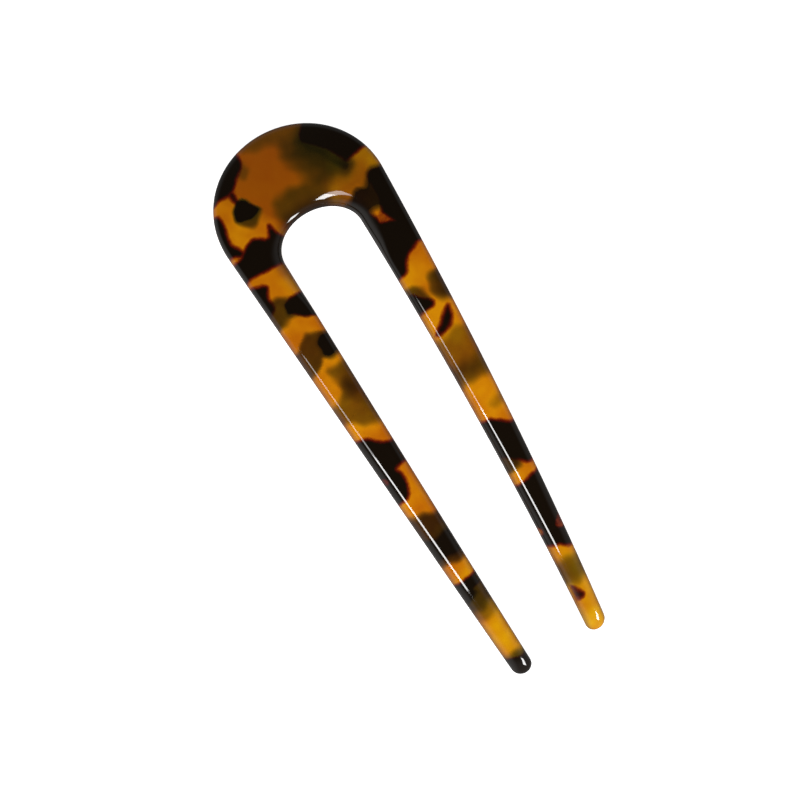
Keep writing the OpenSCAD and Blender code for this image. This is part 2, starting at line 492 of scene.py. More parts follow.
@dataclass(frozen=True)
class FlowWave:
    """One of the slow waves in which the soft paste has flowed in the press.

    Attributes:
        share: Its height, as a share of the drift.
        across: How far it turns in a millimetre of x, in radians.
        along: How far it turns in a millimetre of s, in radians.
        phase: Its turn at the middle of the rim, in radians.
    """

    share: float
    across: float
    along: float
    phase: float = 0.0

    def at(self, x: np.ndarray, s: np.ndarray) -> np.ndarray:
        """The wave's height at places on the blank."""
        return self.share * np.sin(self.along * s + self.across * x + self.phase)


@dataclass(frozen=True)
class TortoiseshellSheet:
    """The pressed sheet: dark lumps at and under its faces, in an amber ground.

    Attributes:
        chips: The lumps, in the order in which they are laid.
        veil: Depth of amber that hides about two thirds of a lump, in millimetres.
        wall_share: Share of the sheet's thickness above which a buried lump stays under the gloss of
            the walls, and below which the back cuts it.
        full_body: Thickness from which a lump shuts out all the light.
        rim: Width of a cut lump's edge, where it is thin enough to glow.
        spread: How much a lump's soft edge widens in each millimetre under its base.
        drift: How far buried lumps have flowed sideways.
        x_waves: The waves of that flow across the pin.
        s_waves: Its waves along the pin.
        reach: Furthest distance from an outline that is kept.
    """

    chips: tuple[Chip, ...] = HEAD_CHIPS + RIGHT_LEG_CHIPS + LEFT_LEG_CHIPS
    veil: float = 1.2
    wall_share: float = 0.62
    full_body: float = 1.5
    rim: float = 0.35
    spread: float = 0.4
    drift: float = 0.3
    x_waves: tuple[FlowWave, ...] = (FlowWave(1.0, 0.31, 0.83), FlowWave(0.6, -0.7, 1.9, 1.1))
    s_waves: tuple[FlowWave, ...] = (FlowWave(1.0, 0.77, -0.41, 2.0), FlowWave(0.6, 1.7, 0.6))
    reach: float = 3.0

    @staticmethod
    def rounded(corners: np.ndarray) -> np.ndarray:
        """Cuts the corners of a closed outline off twice, which leaves a smooth curve.

        Args:
            corners: The outline's corners, as rows of x and s.

        Returns:
            Four times as many corners.
        """
        near, far = 0.75, 0.25
        for _ in range(2):
            ahead = np.roll(corners, -1, axis=0)
            pairs = np.stack((near * corners + far * ahead, far * corners + near * ahead), axis=1)
            corners = pairs.reshape(-1, 2)
        return corners

    def flowed(self, flat: np.ndarray) -> np.ndarray:
        """Moves places the way the soft paste has flowed in the press.

        Args:
            flat: Rows of x and s.

        Returns:
            Rows of x and s, from where buried lumps have come.
        """
        x, s = flat.T
        flow = [sum(wave.at(x, s) for wave in waves) for waves in (self.x_waves, self.s_waves)]
        return flat + self.drift * np.column_stack(flow)

    @staticmethod
    def inside_distance(places: np.ndarray, corners: np.ndarray) -> np.ndarray:
        """Distance of places from a closed outline, positive inside it.

        Args:
            places: Rows of x and s.
            corners: The outline's corners, as rows of x and s.

        Returns:
            One distance for each place.
        """
        nearest = np.full(len(places), np.inf)
        inside = np.zeros(len(places), bool)
        for start, end in zip(corners, np.roll(corners, -1, axis=0)):
            edge = end - start
            offset = places - start
            share = np.clip(offset @ edge / (edge @ edge), 0, 1)
            gap = offset - share[:, None] * edge
            nearest = np.minimum(nearest, np.hypot(gap[:, 0], gap[:, 1]))
            if start[1] != end[1]:
                spans = (start[1] > places[:, 1]) != (end[1] > places[:, 1])
                crossing = start[0] + (places[:, 1] - start[1]) / (end[1] - start[1]) * edge[0]
                inside ^= spans & (places[:, 0] < crossing)
        return np.where(inside, nearest, -nearest)

    def lay(self, blank: np.ndarray, sheet_thickness: float) -> tuple[np.ndarray, np.ndarray]:
        """Works out what shows at places on the pin's surface.

        Args:
            blank: Places on the blank, as rows of x, s and z.
            sheet_thickness: Thickness of the sheet.

        Returns:
            The ink, a distance in millimetres that is positive in a lump that the surface cuts, and
            the dusk, from 0 for clear amber to 1 for a lump just under the surface.
        """
        ink = np.full(len(blank), -self.reach)
        dusk = np.zeros(len(blank))
        under_face = sheet_thickness / 2 - blank[:, 2]
        flat = blank[:, :2]
        flowed = self.flowed(flat)
        for chip in self.chips:
            outline = self.rounded(np.array(chip.corners))
            above_base = chip.depth + chip.thickness - under_face
            if chip.paste is Paste.CLEAR:
                inside = np.minimum(self.inside_distance(flat, outline), above_base)
                ink = np.minimum(ink, np.maximum(chip.depth, 2 * chip.blur - inside))
                dusk = dusk * (1 - np.clip(inside / (2 * chip.blur), 0, 1))
                continue
            inside = self.inside_distance(flowed if chip.depth > 0 else flat, outline)
            buried = np.maximum(chip.depth, -above_base)
            blur = chip.blur + self.spread * np.clip(-above_base, 0, None)
            lead = blur if chip.depth > 0 else -self.rim
            cover = np.clip((inside + lead) / (2 * blur), 0, 1)
            body = min(1.0, chip.thickness / self.full_body)
            shade = body * cover**2 * (3 - 2 * cover) * np.exp(-buried / self.veil)
            dusk = dusk + shade - dusk * shade
            top = -self.reach if chip.depth == 0 else max(chip.depth, self.wall_share * sheet_thickness)
            ink = np.maximum(ink, np.minimum(inside, np.minimum(under_face - top, above_base)))
        return ink, dusk


class Grain(Enum):
    """Noises in the paste and in its polish: waves to a millimetre, detail and roughness."""

    CLOUDS = (0.14, 2.0, 0.5)
    WISPS = (0.3, 2.0, 0.5)
    BITES = (0.5, 1.0, 0.5)
    NICKS = (2.0, 2.0, 0.6)
    HAZE = (1.2, 3.0, 0.6)
    WAVES = (0.3, 1.0, 0.4)


@dataclass(frozen=True)
class PolishedAcetate:
    """Cellulose acetate sheet, tumbled to a high polish: glossy, with colour that lies under the gloss.

    The amber ground is deeper across the broad head and brighter in the slim legs. This is partly its own hue
    and partly painted light that stands for light coming through the slim sheet.
    Beside the edges it is darkened by painted shade. Everything in it works as a filter, as in the real
    sheet: buried lumps dim it to a soft olive, and lumps that the surface cuts run from red, where
    they feather out and light comes through, to black.

    Attributes:
        ior: Refractive index of cellulose acetate.
        noise_span: Values that most of a noise lies between.
        cloud_span: The same for the clouds, narrower to set them apart more.
        breadths: Breadths of the broad head and of a slim tip, in millimetres.
        ground_and_glow: Amber from the broad head to the slim tips, by how narrow the pin is: its own
            hue, with painted light that makes it brighter where the pin is slim.
        leg_start: How narrow the pin is at the end of the head and where the legs have begun.
        cloud_tint: What one layer of the ground's own clouds lets through.
        cloud_layers: Layers of it at most, in the broad head and in the legs.
        edge_shade_reach: Distances from an edge over which the painted edge shade fades out, in
            millimetres.
        edge_shade_darkest: Share of the ground's colour that the painted edge shade leaves right at an
            edge.
        smoke_tint: What one layer of buried paste lets through.
        broad_smoke_tint: The same in the broad head, where the ground round it is redder.
        smoke_layers: Layers of it in a lump just under the surface.
        wisp_share: Share by which the wisps make them more or fewer.
        deep_layers: Layers of it more where lumps lie so close that no light comes back.
        deep_start: Dusk from which they add up.
        bite_depth: How far the edge of a cut lump is bitten, in bites about 2 mm wide.
        nick_depth: The same in nicks about 0.5 mm wide.
        rim_tint: What one layer of cut paste lets through.
        rim_layers: Layers of it where a cut lump is thick.
        rim_reach: Distances inside its edge over which a cut lump thickens, in millimetres.
        black: Colour of the paste where no light comes through.
        gloss: Least and greatest roughness.
        waviness: Height of the polish's waves in millimetres.
    """

    ior: float = 1.48
    noise_span: tuple[float, float] = (0.3, 0.7)
    cloud_span: tuple[float, float] = (0.35, 0.65)
    breadths: tuple[float, float] = (19.0, 4.6)
    # Painted light: the amber is brighter where the pin is slim, standing for light through the thin sheet
    ground_and_glow: tuple[tuple[float, str], ...] = (
        (0.0, "#944B02"), (0.07, "#984D02"), (0.17, "#C27502"), (0.66, "#C27402"), (0.8, "#BE6F02"),
        (0.88, "#B86B02"), (0.94, "#B26C02"), (1.0, "#B67A02"),
    )
    leg_start: tuple[float, float] = (0.06, 0.25)
    cloud_tint: str = "#D5A9BC"
    cloud_layers: tuple[float, float] = (0.1, 0.35)
    edge_shade_reach: tuple[float, float] = (-0.8, 1.2)
    edge_shade_darkest: float = 0.1
    smoke_tint: str = "#A6ADC1"
    broad_smoke_tint: str = "#A4C1D0"
    smoke_layers: float = 3.3
    wisp_share: float = 0.07
    deep_layers: float = 4.0
    deep_start: float = 0.75
    bite_depth: float = 0.35
    nick_depth: float = 0.12
    rim_tint: str = "#A4745E"
    rim_layers: float = 4.5
    rim_reach: tuple[float, float] = (-0.6, 1.25)
    black: str = "#110A04"
    gloss: tuple[float, float] = (0.05, 0.08)
    waviness: float = 0.006

    @staticmethod
    def set_ramp(node: bpy.types.Node, stops: tuple[tuple[float, str], ...]) -> None:
        """Gives a colour ramp its stops.

        Args:
            node: The ramp.
            stops: Place and sRGB colour of each stop.
        """
        elements = node.color_ramp.elements
        while len(elements) < len(stops):
            elements.new(0.5)
        for element, (place, colour) in zip(elements, stops):
            element.position = place
            element.color = to_linear(colour)

    def build(self) -> bpy.types.Material:
        """Makes the material.

        Returns:
            The polished acetate, which reads the piece's own blank, ink, dusk, breadth and its distance
            for the painted edge shade.
        """
        material = bpy.data.materials.new("polished_tortoiseshell_acetate")
        material.use_nodes = True
        tree = material.node_tree
        tree.nodes.clear()
        add = partial(add_node, tree)
        blank = add("ShaderNodeAttribute", {"attribute_name": "blank"}).outputs["Vector"]
        ink, dusk, breadth, inland = (
            add("ShaderNodeAttribute", {"attribute_name": name}).outputs["Fac"]
            for name in ("ink", "dusk", "breadth", "inland")
        )
        noise = {}
        for grain in Grain:
            waves, detail, coarseness = grain.value
            noise[grain] = add("ShaderNodeTexNoise", None, {
                "Vector": blank, "Scale": waves, "Detail": detail, "Roughness": coarseness})

        # The amber ground, with painted light that brightens it where the pin is slim, in clouds about 7 mm
        # across that are faint in the broad head
        narrow = add("ShaderNodeMapRange", None, {
            "Value": breadth, "From Min": self.breadths[0], "From Max": self.breadths[1]})
        off_head = add("ShaderNodeMapRange", None, {
            "Value": narrow, "From Min": self.leg_start[0], "From Max": self.leg_start[1]})
        amber = add("ShaderNodeValToRGB", None, {"Fac": narrow})
        self.set_ramp(amber, self.ground_and_glow)
        cloud_reach = add("ShaderNodeMapRange", None, {
            "Value": off_head, "To Min": self.cloud_layers[0], "To Max": self.cloud_layers[1]})
        cloud_share = add("ShaderNodeMapRange", None, {
            "Value": noise[Grain.CLOUDS], "From Min": self.cloud_span[0], "From Max": self.cloud_span[1],
            "To Min": -1.0, "To Max": 1.0})
        cloud_depth = add("ShaderNodeMath", {"operation": "MULTIPLY"}, {0: cloud_share, 1: cloud_reach})
        cloud = add("ShaderNodeGamma", None, {"Color": to_linear(self.cloud_tint), "Gamma": cloud_depth})

        # Painted shade: the colour is darkened beside an edge, more broadly and darker at the arch
        shade = add("ShaderNodeMapRange", {"interpolation_type": "SMOOTHSTEP"}, {
            "Value": inland, "From Min": self.edge_shade_reach[0], "From Max": self.edge_shade_reach[1],
            "To Min": self.edge_shade_darkest, "To Max": 1.0})

        # Smoke: buried lumps
        wisp_layers = add("ShaderNodeMapRange", None, {
            "Value": noise[Grain.WISPS], "From Min": self.noise_span[0], "From Max": self.noise_span[1],
            "To Min": (1 - self.wisp_share) * self.smoke_layers,
            "To Max": (1 + self.wisp_share) * self.smoke_layers})
        deep_depth = add("ShaderNodeMapRange", {"interpolation_type": "SMOOTHSTEP"}, {
            "Value": dusk, "From Min": self.deep_start, "From Max": 1.0,
            "To Min": 0.0, "To Max": self.deep_layers})
        smoke_depth = add("ShaderNodeMath", {"operation": "MULTIPLY_ADD"}, {
            0: dusk, 1: wisp_layers, 2: deep_depth})
        smoke_tint = add("ShaderNodeMix", {"data_type": "RGBA"}, {
            "Factor": off_head, 6: to_linear(self.broad_smoke_tint), 7: to_linear(self.smoke_tint)})
        smoke = add("ShaderNodeGamma", None, {"Color": smoke_tint, "Gamma": smoke_depth})

        # Cut lumps, their edges bitten and nicked
        depth = ink
        for grain, reach in ((Grain.BITES, self.bite_depth), (Grain.NICKS, self.nick_depth)):
            gnawed = add("ShaderNodeMapRange", None, {
                "Value": noise[grain], "To Min": -reach, "To Max": reach})
            depth = add("ShaderNodeMath", {"operation": "ADD"}, {0: depth, 1: gnawed})
        rim_depth = add("ShaderNodeMapRange", {"interpolation_type": "SMOOTHSTEP"}, {
            "Value": depth, "From Min": self.rim_reach[0], "From Max": self.rim_reach[1],
            "To Min": 0.0, "To Max": self.rim_layers})
        rim = add("ShaderNodeGamma", None, {"Color": to_linear(self.rim_tint), "Gamma": rim_depth})

        # Each filter and the painted edge shade take their share of the amber, down to the black of the
        # thickest paste
        colour = amber
        for layer in (cloud, shade, smoke, rim):
            colour = add("ShaderNodeMix", {"data_type": "RGBA", "blend_type": "MULTIPLY"}, {
                "Factor": 1.0, 6: colour, 7: layer})
        colour = add("ShaderNodeMix", {"data_type": "RGBA", "blend_type": "LIGHTEN"}, {
            "Factor": 1.0, 6: colour, 7: to_linear(self.black)})

        # The polish: slightly uneven gloss, and a waviness of a few thousandths of a millimetre
        roughness = add("ShaderNodeMapRange", None, {
            "Value": noise[Grain.HAZE], "From Min": self.noise_span[0], "From Max": self.noise_span[1],
            "To Min": self.gloss[0], "To Max": self.gloss[1]})
        polish = add("ShaderNodeBump", None, {
            "Height": noise[Grain.WAVES], "Strength": 1.0, "Distance": self.waviness * MM})
        surface = add("ShaderNodeBsdfPrincipled", None, {
            "Base Color": colour, "Roughness": roughness, "IOR": self.ior, "Normal": polish})
        add("ShaderNodeOutputMaterial", None, {"Surface": surface})
        return material


@dataclass(frozen=True)
class PinBody:
    """The pin's one piece, swept along its U-shaped line, bent to its bow and laid on the surface.

    Attributes:
        sizes: The pin's sizes.
        sheet: The pattern of its material.
        finish: Its finish.
        corner_steps: Steps round each quarter of its section.
        face_steps: Steps across its front and its back.
        wall_steps: Steps up each wall.
        off_axis: How far beyond the axis of its rounding, as a share of the radius, a point starts to
            count as on the outer side or on the front.
        arch_shade_nearness: How much nearer an edge the arch's broad rounding counts for the painted
            edge shade, as a share of the distance.
        arch_shade_shift: How much nearer it counts besides, in millimetres.
        weld: Distance under which points are joined, in millimetres.
    """

    sizes: PinSizes
    sheet: TortoiseshellSheet
    finish: PolishedAcetate
    corner_steps: int = 7
    face_steps: int = 36
    wall_steps: int = 3
    off_axis: float = 0.0001
    arch_shade_nearness: float = 0.5
    arch_shade_shift: float = 0.5
    weld: float = 0.001

    def guide(self) -> bpy.types.Object:
        """Makes the line through the middles of the sections, which carries their edges and size.

        Returns:
            The guide, a chain of points on the flat blank in millimetres.
        """
        stations = FlatBlank(self.sizes).stations()
        count = len(stations.size)
        flat = np.zeros((count, 1))
        middle = np.hstack(((stations.inner + stations.outer) / 2, flat))
        mesh = bpy.data.meshes.new("pin_guide")
        mesh.from_pydata(middle.tolist(), [(k, k + 1) for k in range(count - 1)], [])
        edges = {"inner_edge": stations.inner, "outer_edge": stations.outer}
        for name, places in edges.items():
            attribute = mesh.attributes.new(name, "FLOAT_VECTOR", "POINT")
            attribute.data.foreach_set("vector", np.hstack((places, flat)).ravel())
        for name, shares in (("section_size", stations.size), ("crown_size", stations.crown)):
            attribute = mesh.attributes.new(name, "FLOAT", "POINT")
            attribute.data.foreach_set("value", shares)
        guide = bpy.data.objects.new("hair_pin_body", mesh)
        bpy.context.scene.collection.objects.link(guide)
        return guide

    def sweep_inputs(self) -> dict[str, float | int]:
        """Names the sizes that the sweep takes.

        Returns:
            Each input's name and value, its lengths in millimetres.
        """
        size = self.sizes
        return {
            "Blank Length": size.blank_length,
            "Arch Foot": size.arch_foot,
            "Sheet Thickness": size.sheet_thickness,
            "Tip Thickness": size.tip_thickness,
            "Edge Radius": size.edge_radius,
            "Edge Width Power": size.edge_width_power,
            "Edge Height Power": size.edge_height_power,
            "Arch Rounding": size.arch_rounding,
            "Arch Rounding Fade": size.arch_rounding_fade,
            "Bow Radius": size.bow_radius,
            "Corner Steps": self.corner_steps,
            "Face Steps": self.face_steps,
            "Wall Steps": self.wall_steps,
        }

    @staticmethod
    def ring(add: Callable[..., bpy.types.Node], given: bpy.types.NodeOutputs) -> bpy.types.Node:
        """Builds the ring that is swept, whose points know their corner and their place round it.

        Half of the ring is a corner, a face, a corner and a wall. The other half is the same turned
        round, with a side of -1 in place of 1.

        Args:
            add: Adds a node to the tree.
            given: The tree's inputs.

        Returns:
            The last node of the ring.
        """
        after_face = add("ShaderNodeMath", {"operation": "ADD"}, {
            0: given["Corner Steps"], 1: given["Face Steps"]})
        before_wall = add("ShaderNodeMath", {"operation": "ADD"}, {0: after_face, 1: given["Corner Steps"]})
        half_ring = add("ShaderNodeMath", {"operation": "ADD"}, {0: before_wall, 1: given["Wall Steps"]})
        points = add("ShaderNodeMath", {"operation": "MULTIPLY"}, {0: half_ring, 1: 2.0})
        index = add("GeometryNodeInputIndex")
        step = add("ShaderNodeMath", {"operation": "MODULO"}, {0: index, 1: half_ring})
        past_index = add("ShaderNodeMath", {"operation": "ADD"}, {0: index, 1: 0.5})
        far_half = add("ShaderNodeMath", {"operation": "GREATER_THAN"}, {0: past_index, 1: half_ring})
        side = add("ShaderNodeMath", {"operation": "MULTIPLY_ADD"}, {0: far_half, 1: -2.0, 2: 1.0})
        first_turn, second_turn, across_face, down_wall = (
            add("ShaderNodeMapRange", None, {
                "Value": step, "From Min": start, "From Max": end, "To Min": first, "To Max": last})
            for start, end, first, last in (
                (0.0, given["Corner Steps"], 0.0, math.pi / 2),
                (after_face, before_wall, 0.0, math.pi / 2),
                (given["Corner Steps"], after_face, 1.0, -1.0),
                (before_wall, half_ring, 1.0, -1.0),
            )
        )
        turn = add("ShaderNodeMath", {"operation": "ADD"}, {0: first_turn, 1: second_turn})
        turn_cos = add("ShaderNodeMath", {"operation": "COSINE"}, {0: turn})
        turn_sin = add("ShaderNodeMath", {"operation": "SINE"}, {0: turn})
        ring = add("GeometryNodeCurvePrimitiveCircle", None, {"Resolution": points})
        for name, x, y in (("ring_arc", turn_cos, turn_sin), ("ring_corner", across_face, down_wall)):
            place = add("ShaderNodeCombineXYZ", None, {"X": x, "Y": y})
            sided = add("ShaderNodeVectorMath", {"operation": "SCALE"}, {0: place, "Scale": side})
            ring = add("GeometryNodeStoreNamedAttribute", {"data_type": "FLOAT_VECTOR", "domain": "POINT"}, {
                "Geometry": ring, "Name": name, "Value": sided})
        return ring

    @staticmethod
    def bent(add: Callable[..., bpy.types.Node], given: bpy.types.NodeOutputs) -> bpy.types.Node:
        """Bends each point from its place on the blank round the bow's circle.

        Args:
            add: Adds a node to the tree.
            given: The tree's inputs.

        Returns:
            The last node of the bend, with each point's place in metres.
        """
        blank = add("GeometryNodeInputNamedAttribute", {"data_type": "FLOAT_VECTOR"}, {"Name": "blank"})
        x, s, z = add("ShaderNodeSeparateXYZ", None, {0: blank}).outputs
        from_end = add("ShaderNodeMath", {"operation": "MULTIPLY"}, {0: s, 1: -1.0})
        from_middle = add("ShaderNodeMath", {"operation": "MULTIPLY_ADD"}, {
            0: given["Blank Length"], 1: 0.5, 2: from_end})
        turn = add("ShaderNodeMath", {"operation": "DIVIDE"}, {0: from_middle, 1: given["Bow Radius"]})
        turn_sin = add("ShaderNodeMath", {"operation": "SINE"}, {0: turn})
        turn_cos = add("ShaderNodeMath", {"operation": "COSINE"}, {0: turn})
        radius = add("ShaderNodeMath", {"operation": "ADD"}, {0: given["Bow Radius"], 1: z})
        along = add("ShaderNodeMath", {"operation": "MULTIPLY"}, {0: radius, 1: turn_sin})
        from_centre = add("ShaderNodeMath", {"operation": "MULTIPLY"}, {0: radius, 1: turn_cos})
        up = add("ShaderNodeMath", {"operation": "SUBTRACT"}, {0: from_centre, 1: given["Bow Radius"]})
        bent = add("ShaderNodeCombineXYZ", None, {"X": x, "Y": along, "Z": up})
        return add("ShaderNodeVectorMath", {"operation": "SCALE"}, {0: bent, "Scale": MM})

    def sweep_tree(self, material: bpy.types.Material) -> bpy.types.GeometryNodeTree:
        """Builds the tree that sweeps the rounded section along the guide and bends it.

        Args:
            material: The finish, set by the tree's last node.

        Returns:
            The tree. It stores each point's place on the blank, its distance from the nearest
            edge for the painted edge shade, shortened at the arch, and the breadth of its section on the
            mesh.
        """
        tree = bpy.data.node_groups.new("sweep_and_bend_pin", "GeometryNodeTree")
        tree.interface.new_socket("Guide", in_out="INPUT", socket_type="NodeSocketGeometry")
        for name, value in self.sweep_inputs().items():
            kind = "NodeSocketInt" if isinstance(value, int) else "NodeSocketFloat"
            tree.interface.new_socket(name, in_out="INPUT", socket_type=kind)
        tree.interface.new_socket("Pin", in_out="OUTPUT", socket_type="NodeSocketGeometry")
        add = partial(add_node, tree)
        given = add("NodeGroupInput").outputs
        line = add("GeometryNodeMeshToCurve", None, {"Mesh": given["Guide"]})
        swept = add("GeometryNodeCurveToMesh", None, {"Curve": line, "Profile Curve": self.ring(add, given)})
        inner, outer, ring_arc, ring_corner = (
            add("GeometryNodeInputNamedAttribute", {"data_type": "FLOAT_VECTOR"}, {"Name": name})
            for name in ("inner_edge", "outer_edge", "ring_arc", "ring_corner")
        )
        size, crown = (
            add("GeometryNodeInputNamedAttribute", {"data_type": "FLOAT"}, {"Name": name})
            for name in ("section_size", "crown_size")
        )

        # The section's width, height and roundings, which grow rounder towards the tip
        across = add("ShaderNodeVectorMath", {"operation": "SUBTRACT"}, {0: outer, 1: inner})
        width = add("ShaderNodeVectorMath", {"operation": "LENGTH"}, {0: across})
        half_width = add("ShaderNodeMath", {"operation": "MULTIPLY"}, {0: width, 1: 0.5})
        middle = add("ShaderNodeMix", {"data_type": "VECTOR"}, {"Factor": 0.5, 4: inner, 5: outer})
        middle_s = add("ShaderNodeSeparateXYZ", None, {0: middle}).outputs["Y"]
        leg_share = add("ShaderNodeMapRange", None, {
            "Value": middle_s, "From Min": given["Arch Foot"], "From Max": given["Blank Length"]})
        height = add("ShaderNodeMapRange", None, {
            "Value": leg_share, "To Min": given["Sheet Thickness"], "To Max": given["Tip Thickness"]})
        half_height = add("ShaderNodeMath", {"operation": "MULTIPLY"}, {0: height, 1: 0.5})
        radius = add("ShaderNodeMath", {"operation": "MINIMUM"}, {0: given["Edge Radius"], 1: half_width})
        width_share, height_share = (
            add("ShaderNodeMath", {"operation": "POWER"}, {0: leg_share, 1: given[name]})
            for name in ("Edge Width Power", "Edge Height Power")
        )
        edge_width = add("ShaderNodeMapRange", None, {
            "Value": width_share, "To Min": radius, "To Max": half_width})
        edge_height = add("ShaderNodeMapRange", None, {
            "Value": height_share, "To Min": given["Edge Radius"], "To Max": half_height})

        # The front's rounding on the side of the gap is broader and deeper at the arch
        fade_end = add("ShaderNodeMath", {"operation": "ADD"}, {
            0: given["Arch Foot"], 1: given["Arch Rounding Fade"]})
        arch_share = add("ShaderNodeMapRange", {"interpolation_type": "SMOOTHSTEP"}, {
            "Value": middle_s, "From Min": given["Arch Foot"], "From Max": fade_end,
            "To Min": 1.0, "To Max": 0.0})
        arch_width, arch_depth = (
            add("ShaderNodeMix", None, {"Factor": arch_share, 2: edge, 3: given["Arch Rounding"]})
            for edge in (edge_width, edge_height)
        )
        above_back = add("ShaderNodeMath", {"operation": "SUBTRACT"}, {0: height, 1: edge_height})
        arch_height = add("ShaderNodeMath", {"operation": "MINIMUM"}, {0: arch_depth, 1: above_back})

        # Each point's own rounding: outer or inner side, front or back
        arc = add("ShaderNodeSeparateXYZ", None, {0: ring_arc}).outputs
        corner = add("ShaderNodeSeparateXYZ", None, {0: ring_corner}).outputs
        outer_side, front_side = (
            add("ShaderNodeMath", {"operation": "GREATER_THAN"}, {0: arc[axis], 1: self.off_axis})
            for axis in ("X", "Y")
        )
        inner_width = add("ShaderNodeMix", None, {"Factor": front_side, 2: edge_width, 3: arch_width})
        front_height = add("ShaderNodeMix", None, {"Factor": outer_side, 2: arch_height, 3: edge_height})
        round_width = add("ShaderNodeMix", None, {"Factor": outer_side, 2: inner_width, 3: edge_width})
        round_height = add("ShaderNodeMix", None, {"Factor": front_side, 2: edge_height, 3: front_height})

        # Each point's place in its section: the middle of its corner, then the arc round it
        both_widths = add("ShaderNodeMath", {"operation": "ADD"}, {0: inner_width, 1: edge_width})
        mean_width = add("ShaderNodeMath", {"operation": "MULTIPLY"}, {0: both_widths, 1: 0.5})
        face_shift = add("ShaderNodeMath", {"operation": "SUBTRACT"}, {0: mean_width, 1: edge_width})
        face_half = add("ShaderNodeMath", {"operation": "SUBTRACT"}, {0: half_width, 1: mean_width})
        wall_top = add("ShaderNodeMath", {"operation": "SUBTRACT"}, {0: half_height, 1: front_height})
        wall_base = add("ShaderNodeMath", {"operation": "SUBTRACT"}, {0: edge_height, 1: half_height})
        corner_x = add("ShaderNodeMath", {"operation": "MULTIPLY_ADD"}, {
            0: corner["X"], 1: face_half, 2: face_shift})
        corner_z = add("ShaderNodeMapRange", None, {
            "Value": corner["Y"], "From Min": -1.0, "From Max": 1.0, "To Min": wall_base, "To Max": wall_top})
        section_x, section_z = (
            add("ShaderNodeMath", {"operation": "MULTIPLY_ADD"}, {0: arc[axis], 1: rounding, 2: centre})
            for axis, rounding, centre in (("X", round_width, corner_x), ("Y", round_height, corner_z))
        )

        # The tips close in height, their front sooner than their back
        on_front = add("ShaderNodeMath", {"operation": "GREATER_THAN"}, {0: section_z, 1: 0.0})
        share = add("ShaderNodeMix", None, {"Factor": on_front, 2: size, 3: crown})
        place_z = add("ShaderNodeMath", {"operation": "MULTIPLY"}, {0: section_z, 1: share})

        # From the section to the flat blank
        outward = add("ShaderNodeVectorMath", {"operation": "NORMALIZE"}, {0: across})
        sideways = add("ShaderNodeVectorMath", {"operation": "SCALE"}, {0: outward, "Scale": section_x})
        upwards = add("ShaderNodeCombineXYZ", None, {"Z": place_z})
        level = add("ShaderNodeVectorMath", {"operation": "ADD"}, {0: middle, 1: sideways})
        place = add("ShaderNodeVectorMath", {"operation": "ADD"}, {0: level, 1: upwards})
        off_middle = add("ShaderNodeMath", {"operation": "ABSOLUTE"}, {0: section_x})
        from_edge = add("ShaderNodeMath", {"operation": "SUBTRACT"}, {0: half_width, 1: off_middle})

        # Painted shade: the arch's broad rounding counts as nearer its edge, which darkens it more
        gap_side = add("ShaderNodeMath", {"operation": "LESS_THAN"}, {0: section_x, 1: 0.0})
        rounded_share = add("ShaderNodeMath", {"operation": "MULTIPLY"}, {0: arch_share, 1: gap_side})
        scale = add("ShaderNodeMath", {"operation": "MULTIPLY_ADD"}, {
            0: rounded_share, 1: -self.arch_shade_nearness, 2: 1.0})
        shift = add("ShaderNodeMath", {"operation": "MULTIPLY"}, {0: rounded_share, 1: -self.arch_shade_shift})
        inland = add("ShaderNodeMath", {"operation": "MULTIPLY_ADD"}, {0: from_edge, 1: scale, 2: shift})

        # The bend, in metres from here on
        pin = swept
        for name, kind, value in (
            ("blank", "FLOAT_VECTOR", place), ("inland", "FLOAT", inland), ("breadth", "FLOAT", width),
        ):
            pin = add("GeometryNodeStoreNamedAttribute", {"data_type": kind, "domain": "POINT"}, {
                "Geometry": pin, "Name": name, "Value": value})
        for kind, inputs in (
            ("GeometryNodeSetPosition", {"Position": self.bent(add, given)}),
            ("GeometryNodeMergeByDistance", {"Distance": self.weld * MM}),
            ("GeometryNodeSetShadeSmooth", {}),
            ("GeometryNodeRealizeInstances", {}),
            ("GeometryNodeSetMaterial", {"Material": material}),
        ):
            pin = add(kind, None, {"Geometry": pin, **inputs})
        add("NodeGroupOutput", None, {0: pin})
        return tree

    def sweep(self, guide: bpy.types.Object, material: bpy.types.Material) -> None:
        """Runs the tree on the guide and leaves its result there as a plain mesh.

        Args:
            guide: The guide, whose mesh is replaced.
            material: The finish.
        """
        tree = self.sweep_tree(material)
        modifier = guide.modifiers.new("sweep", "NODES")
        modifier.node_group = tree
        values = self.sweep_inputs()
        for item in tree.interface.items_tree:
            if item.in_out == "INPUT" and item.name in values:
                modifier[item.identifier] = values[item.name]
        graph = bpy.context.evaluated_depsgraph_get()
        mesh = bpy.data.meshes.new_from_object(guide.evaluated_get(graph), depsgraph=graph)
        guide.modifiers.clear()
        guide.data = mesh
        mesh.name = "hair_pin_body"

    def rest(self, mesh: bpy.types.Mesh) -> None:
        """Tips the bent pin until its head and its tips touch the surface, and centres it.

        Args:
            mesh: The pin's mesh, in metres, bent about its middle.
        """
        places = np.empty(len(mesh.vertices) * 3)
        mesh.vertices.foreach_get("co", places)
        places = places.reshape(-1, 3)
        head = places[places[:, 1] > 0]
        tips = places[places[:, 1] <= 0]
        head_low = head[np.argmin(head[:, 2])]
        tips_low = tips[np.argmin(tips[:, 2])]
        tilt = math.atan2(head_low[2] - tips_low[2], head_low[1] - tips_low[1])
        turned = places @ np.array(Matrix.Rotation(-tilt, 3, "X")).T
        low, high = turned.min(axis=0), turned.max(axis=0)
        turned -= np.array((0.0, (low[1] + high[1]) / 2, low[2]))
        mesh.vertices.foreach_set("co", turned.ravel())

